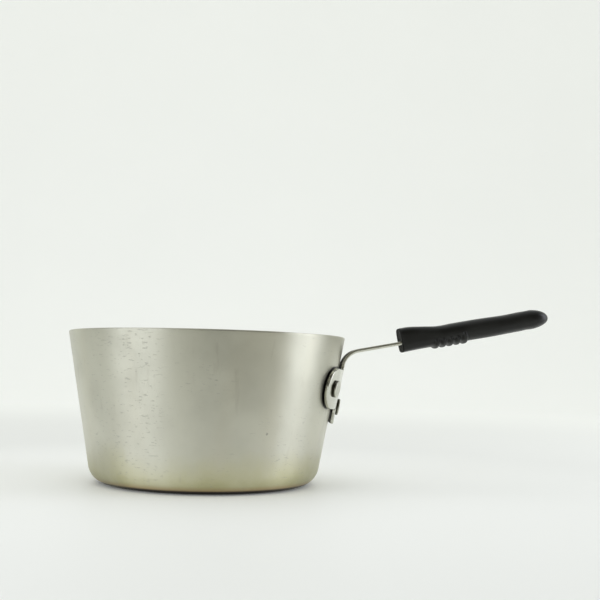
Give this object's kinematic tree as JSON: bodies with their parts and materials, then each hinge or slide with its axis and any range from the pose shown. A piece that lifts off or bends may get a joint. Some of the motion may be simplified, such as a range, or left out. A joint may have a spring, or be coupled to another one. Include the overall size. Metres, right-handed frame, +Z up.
{
  "type": "candle melting pot",
  "caption": "Tapered aluminium melting pot with a riveted steel side handle and a slip-on silicone grip.",
  "frame": {"origin": "centre of the base's flat underside", "axes": "+X along the handle, away from the pan; +Z up along the pan's axis; the pan is symmetric about the XZ plane"},
  "size_m": [0.3896, 0.2216, 0.1459],
  "materials": {
    "pan_aluminium": "satin, spun, with fine scratches and a heat tint near the base",
    "rivet_aluminium": "satin",
    "plated_steel": "plated, slightly dulled",
    "spacer_steel": "plain steel, dull",
    "grip_silicone": "matte black, moulded"
  },
  "bodies": {
    "pan": {"pan_body": "pan_aluminium", "handle_bracket": "plated_steel", "rivet_left": "rivet_aluminium", "rivet_right": "rivet_aluminium", "rivet_lower": "rivet_aluminium", "spacer_left": "spacer_steel", "spacer_right": "spacer_steel", "spacer_lower": "spacer_steel"},
    "grip": {"grip_sleeve": "grip_silicone"}
  },
  "joints": [
    {"name": "grip_slide", "type": "slide", "parent": "pan", "child": "grip", "axis": [0.981, 0, 0.1942], "range_m": [0, 0.118]}
  ]
}
